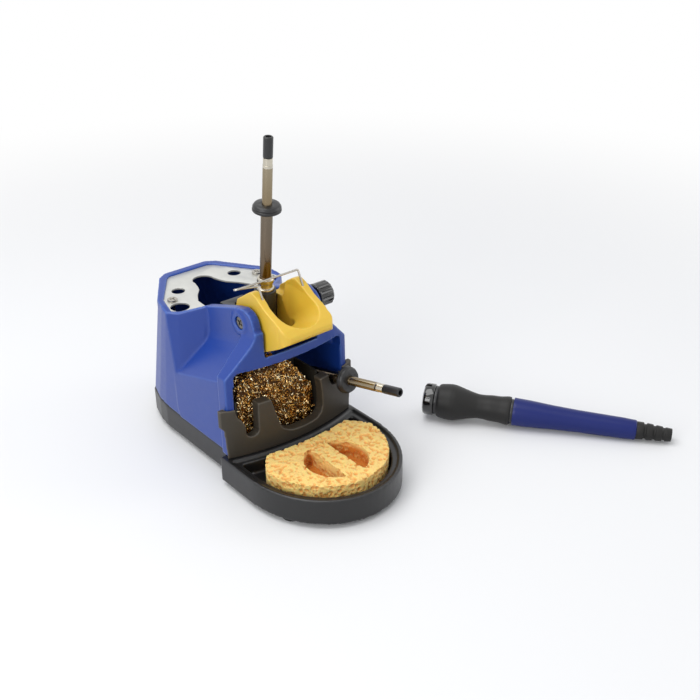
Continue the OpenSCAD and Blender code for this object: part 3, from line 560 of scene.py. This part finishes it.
def makeSponge(s):
    piece = moulded("spongeBlock", "sponge", {"voxel": s["voxel"], "passes": s["passes"], "cuts": s})
    rng = np.random.default_rng(s["seed"])
    mesh = piece.data
    count = len(mesh.vertices)
    place = np.zeros(count * 3)
    normal = np.zeros(count * 3)
    mesh.vertices.foreach_get("co", place)
    mesh.vertices.foreach_get("normal", normal)
    place, normal = place.reshape(-1, 3), normal.reshape(-1, 3)
    tree = kdtree.KDTree(count)
    for i, p in enumerate(place):
        tree.insert(p, i)
    tree.balance()
    sink = np.zeros(count)
    for i in rng.choice(count, s["pores"], replace=False):
        radius = (s["smallest"] + (s["largest"] - s["smallest"]) * rng.random() ** s["fewLarge"]) * mm
        stretch = s["roundest"] + (s["longest"] - s["roundest"]) * rng.random()
        turn = rng.random() * math.pi
        for co, j, gap in tree.find_range(place[i], radius * s["around"]):
            dx, dy, dz = place[j] - place[i]
            a = (dx * math.cos(turn) + dy * math.sin(turn)) / stretch
            b = (-dx * math.sin(turn) + dy * math.cos(turn)) * stretch
            far = math.sqrt(a * a + b * b + dz * dz) / radius
            if far < 1:
                sink[j] = max(sink[j], radius * s["depth"] * (1 - far ** s["steep"]))
    swell = [math.sin(p[0] * s["waveX"]) * math.sin(p[1] * s["waveY"] + s["waveStart"]) for p in place]
    place = place - normal * (sink + s["shrink"] * mm + np.array(swell) * s["swell"] * mm)[:, None]
    mesh.vertices.foreach_set("co", place.ravel())
    # painted shade: the wells' walls are tinted deeper orange further below the top, and each pore by its depth
    centreX, centreY = s["wellCentre"]
    away = np.hypot(place[:, 0] - centreX * mm, place[:, 1] - centreY * mm)
    deep = np.clip((place[:, 2].max() - place[:, 2] - s["tintTop"] * mm) / (s["tintFade"] * mm), 0, 1)
    deep *= (away < s["tintReach"] * mm) & (np.abs(place[:, 0]) > s["tintBar"] * mm)
    paintedPoreShade = np.maximum(np.clip(sink / (s["poreDeep"] * mm), 0, s["poreTint"]), deep * s["wellTint"])
    mesh.attributes.new("poreAndWellShade", "FLOAT", "POINT").data.foreach_set("value", paintedPoreShade)
    mesh.update()
    return piece


celluloseSettings = {
    "bareCellulose": {"colour": paint(238, 204, 122), "rough": 0.7, "grain": 0.9, "grainScale": 1500, "blotch": 0.1,
            "blotchScale": 120, "flesh": 0.2, "sheen": 0.1},
    # the orange is painted shade for the pores, pits and wells
    "paintedPoreShade": paint(214, 126, 30), "pitScale": 900, "pitInner": 0.12, "pitOuter": 0.3, "pitTint": 0.45,
}


def makeSpongeFinish(s):
    mat = makeFinish("poreShadedCellulose", s["bareCellulose"])
    tree, socket, surface = surfaceOf(mat)
    # painted shade: the pores and wells through their layer, and fine Voronoi pits that are not modelled, are mixed
    # towards the orange pore shade
    fine = tree.nodes.new("ShaderNodeTexVoronoi")
    fine.inputs["Scale"].default_value = s["pitScale"]
    tree.links.new(tree.nodes["Texture Coordinate"].outputs["Object"], fine.inputs["Vector"])
    pit = addRange(tree, fine.outputs["Distance"], s["pitInner"], s["pitOuter"], s["pitTint"], 0)
    most = addMath(tree, "MAXIMUM", readLayer(tree, "poreAndWellShade"), pit)
    tree.links.new(mixColours(tree, most.outputs[0], surface, s["paintedPoreShade"]), socket)
    return mat


sponge = makeSponge(spongeSettings)
seat(sponge, "wet_sponge", makeSpongeFinish(celluloseSettings), "sponge")
print("stage: sponge is pored")


# brass wool: a heap of curled ribbon over a dark core, painted as the tangle's shade

woolSettings = {
    "curls": 8000, "shapes": 16, "segments": 11, "width": 0.42, "thick": 0.07, "depth": 5.5, "cover": 0.9, "seed": 3,
    "radius": (0.55, 1.2), "turns": (0.9, 1.6), "pitch": (0.8, 1.6), "size": (0.6, 0.7),  # least, and how much is added
    "taper": 0.35, "sway": 0.5, "swayRate": 3, "headroom": 0.9, "coreVoxel": 0.8, "corePasses": 8, "coreIn": 2.2,
    "letters": "ABCDEF",  # one for each piece that the curls are shared out to
}


def curlShape(rng, s):
    # one curl of flat ribbon: rings of four corners along a loose helix
    radius, turns, pitch = [s[name][0] + s[name][1] * rng.random() for name in ("radius", "turns", "pitch")]
    radius, pitch = radius * mm, pitch * mm
    points = []
    for i in range(s["segments"] + 1):
        t = i / s["segments"]
        a = t * turns * 2 * math.pi
        outward = Vector((math.cos(a), math.sin(a), 0))
        centre = outward * radius * (1 - s["taper"] * t) + Vector((0, 0, t * turns * pitch))
        lean = s["sway"] * math.sin(s["swayRate"] * t + a)
        up = Vector((0, 0, math.cos(lean))) + outward * math.sin(lean)
        side = outward * math.cos(lean) - Vector((0, 0, math.sin(lean)))
        w, h = up * s["width"] * mm / 2, side * s["thick"] * mm / 2
        points += [centre + w + h, centre + w - h, centre - w - h, centre - w + h]
    points = np.array([tuple(p) for p in points])
    return points - points.mean(0), np.array(ringFaces(s["segments"] + 1))


def makeWool(s):
    core = moulded("woolCore", "brass_wool", {"voxel": s["coreVoxel"], "passes": s["corePasses"]})
    skin = BVHTree.FromObject(core, bpy.context.evaluated_depsgraph_get())
    rng = np.random.default_rng(s["seed"])
    low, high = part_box("brass_wool")
    shapes = [curlShape(rng, s) for _ in range(s["shapes"])]
    count = len(s["letters"])
    groups = [([], [], []) for _ in range(count)]
    starts = [0] * count
    made = 0
    while made < s["curls"]:
        spot = Vector([low[i] + (high[i] - low[i]) * rng.random() for i in range(3)])
        near, normal, face, gap = skin.find_nearest(spot)
        inside = (spot - near).dot(normal) < 0
        if not inside or gap > s["depth"] * mm or gap < s["cover"] * mm:
            continue
        points, faces = shapes[int(rng.integers(s["shapes"]))]
        turn = np.array(Euler(rng.random(3) * 2 * math.pi).to_matrix())
        placed = points @ turn.T * (s["size"][0] + s["size"][1] * rng.random())
        reach = np.abs(placed).max(0)
        if not all(low[i] + reach[i] < spot[i] < high[i] - reach[i] * s["headroom"] for i in range(3)):
            continue
        which = made % count
        pts, fcs, tones = groups[which]
        pts.append(placed + np.array(spot))
        fcs.append(faces + starts[which])
        tones.append(np.full(len(points), rng.random()))
        starts[which] += len(points)
        made += 1
    pieces = []
    for letter, (pts, fcs, tones) in zip(s["letters"], groups):
        mesh = bpy.data.meshes.new("woolTangle")
        mesh.from_pydata(np.vstack(pts).tolist(), [], np.vstack(fcs).tolist())
        mesh.attributes.new("tone", "FLOAT", "POINT").data.foreach_set("value", np.concatenate(tones))
        piece = addPiece("woolTangle" + letter, mesh)
        editAll(piece, (bpy.ops.mesh.normals_make_consistent, {"inside": False}))
        pieces.append(piece)
    # the core lies under the curls
    editAll(core, (bpy.ops.transform.shrink_fatten, {"value": -s["coreIn"] * mm}))
    return core, pieces


brassSettings = {
    "ribbon": {"colour": paint(206, 160, 84), "rough": 0.13, "metal": 1, "grain": 0.3, "grainScale": 2500, "blotch": 0.1},
    "tones": ((0, paint(128, 80, 28)), (0.5, paint(228, 178, 94)), (1, paint(255, 244, 206))),
    # painted shade: the core's dark brown stands for the shaded depth of the tangle under the curls
    "core": {"colour": paint(70, 44, 16), "rough": 0.5, "metal": 0.5, "grain": 1, "grainScale": 900, "blotch": 0.5,
             "blotchScale": 500},
}


def makeWoolFinish(s):
    mat = makeFinish("brassRibbon", s["ribbon"])
    tree, socket, surface = surfaceOf(mat)
    tree.links.new(addRamp(tree, readLayer(tree, "tone"), s["tones"]), socket)
    return mat


coreFinish = makeFinish("woolShade", brassSettings["core"])
woolCore, woolPieces = makeWool(woolSettings)
seat(woolCore, "stand", coreFinish, "brass_wool")
woolFinish = makeWoolFinish(brassSettings)
for piece in woolPieces:
    seat(piece, "stand", woolFinish, "brass_wool")
print("stage: wool is curled")
